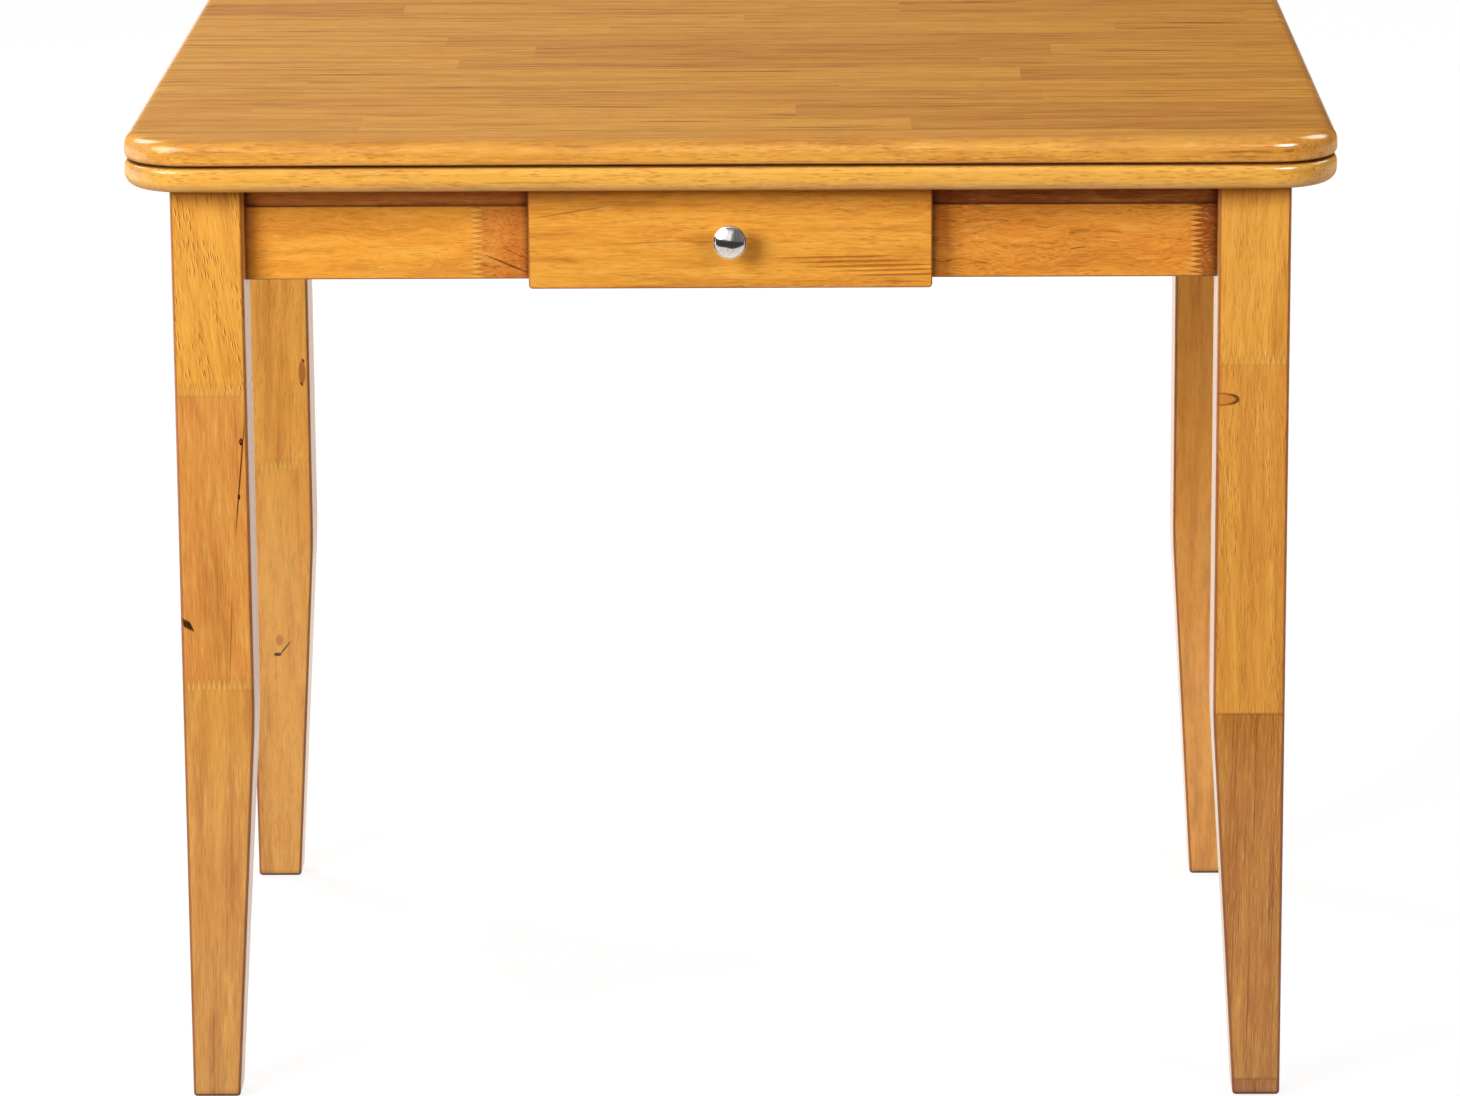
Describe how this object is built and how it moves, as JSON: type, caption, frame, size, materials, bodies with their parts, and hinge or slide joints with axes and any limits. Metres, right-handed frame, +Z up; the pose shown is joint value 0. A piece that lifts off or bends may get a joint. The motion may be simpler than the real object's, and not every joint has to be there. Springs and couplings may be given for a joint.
{
  "type": "tavern table",
  "caption": "Small wooden table whose double top turns a quarter turn and folds open, with square tapered legs and a shallow knobbed drawer in its front apron.",
  "frame": {"origin": "on the floor, under the middle of the closed top", "axes": "+X to the right along the front, +Y from the front with the drawer to the back, +Z up"},
  "size_m": [0.9, 0.7025, 0.75],
  "materials": {
    "leg_wood": "finger-jointed hardwood under gloss lacquer",
    "apron_wood": "finger-jointed hardwood under gloss lacquer",
    "rail_wood": "hardwood under gloss lacquer, darker",
    "top_wood": "edge-glued hardwood staves under gloss lacquer",
    "drawer_front_wood": "hardwood under gloss lacquer",
    "inner_wood": "planed, unfinished",
    "dowel_wood": "fluted dowel, unfinished",
    "drawer_board": "plywood, unfinished",
    "hinge_metal": "rolled brass",
    "brass_screws": "turned brass",
    "zinc_steel": "zinc plated",
    "knob_metal": "polished nickel plate",
    "felt": "pressed felt",
    "nylon": "moulded",
    "clear_pad": "cast clear pad"
  },
  "bodies": {
    "frame": {"apron_front": "apron_wood", "apron_left": "apron_wood", "apron_rear": "apron_wood", "apron_right": "apron_wood", "bolt_washers": "zinc_steel", "corner_block_front_left": "inner_wood", "corner_block_front_right": "inner_wood", "corner_block_rear_left": "inner_wood", "corner_block_rear_right": "inner_wood", "corner_block_screws": "zinc_steel", "cross_rail_left": "inner_wood", "cross_rail_right": "inner_wood", "drawer_runner_left": "inner_wood", "drawer_runner_right": "inner_wood", "floor_glides": "nylon", "frame_dowels": "dowel_wood", "hanger_bolts": "zinc_steel", "leg_front_left": "leg_wood", "leg_front_right": "leg_wood", "leg_rear_left": "leg_wood", "leg_rear_right": "leg_wood", "pivot_bush": "nylon", "pivot_slip_ring": "nylon", "rail_screws": "zinc_steel", "slide_pads": "felt", "swivel_stop_blocks": "inner_wood", "top_rail_front": "rail_wood", "top_rail_left": "rail_wood", "top_rail_rear": "rail_wood", "top_rail_right": "rail_wood", "wing_nuts": "zinc_steel"},
    "lower_leaf": {"lower_leaf": "top_wood", "leaf_bumpers": "clear_pad", "swivel_stop_pin": "dowel_wood", "pivot_flange": "zinc_steel", "pivot_flange_screws": "zinc_steel", "pivot_washer": "zinc_steel", "pivot_spring_washer": "zinc_steel", "pivot_lock_nut": "zinc_steel", "hinge_lower_plate_left": "hinge_metal", "hinge_lower_plate_middle": "hinge_metal", "hinge_lower_plate_right": "hinge_metal", "hinge_pins": "hinge_metal", "lower_hinge_screws": "brass_screws"},
    "upper_leaf": {"upper_leaf": "top_wood", "hinge_upper_plate_left": "hinge_metal", "hinge_upper_plate_middle": "hinge_metal", "hinge_upper_plate_right": "hinge_metal", "upper_hinge_screws": "brass_screws"},
    "drawer": {"drawer_back": "inner_wood", "drawer_bottom": "drawer_board", "drawer_dowels": "dowel_wood", "drawer_front": "drawer_front_wood", "drawer_knob": "knob_metal", "drawer_screws": "zinc_steel", "drawer_side_left": "inner_wood", "drawer_side_right": "inner_wood", "drawer_stop_block": "inner_wood", "knob_screw": "zinc_steel"}
  },
  "joints": [
    {"name": "top_swivel", "type": "hinge", "parent": "frame", "child": "lower_leaf", "pos_m": [-0.175, 0.175, 0.71], "axis": [0, 0, -1], "range_deg": [0, 90]},
    {"name": "leaf_fold", "type": "hinge", "parent": "lower_leaf", "child": "upper_leaf", "pos_m": [0, 0.35, 0.73025], "axis": [-1, 0, 0], "range_deg": [0, 180]},
    {"name": "drawer_slide", "type": "slide", "parent": "frame", "child": "drawer", "axis": [0, -1, 0], "range_m": [0, 0.28]}
  ]
}
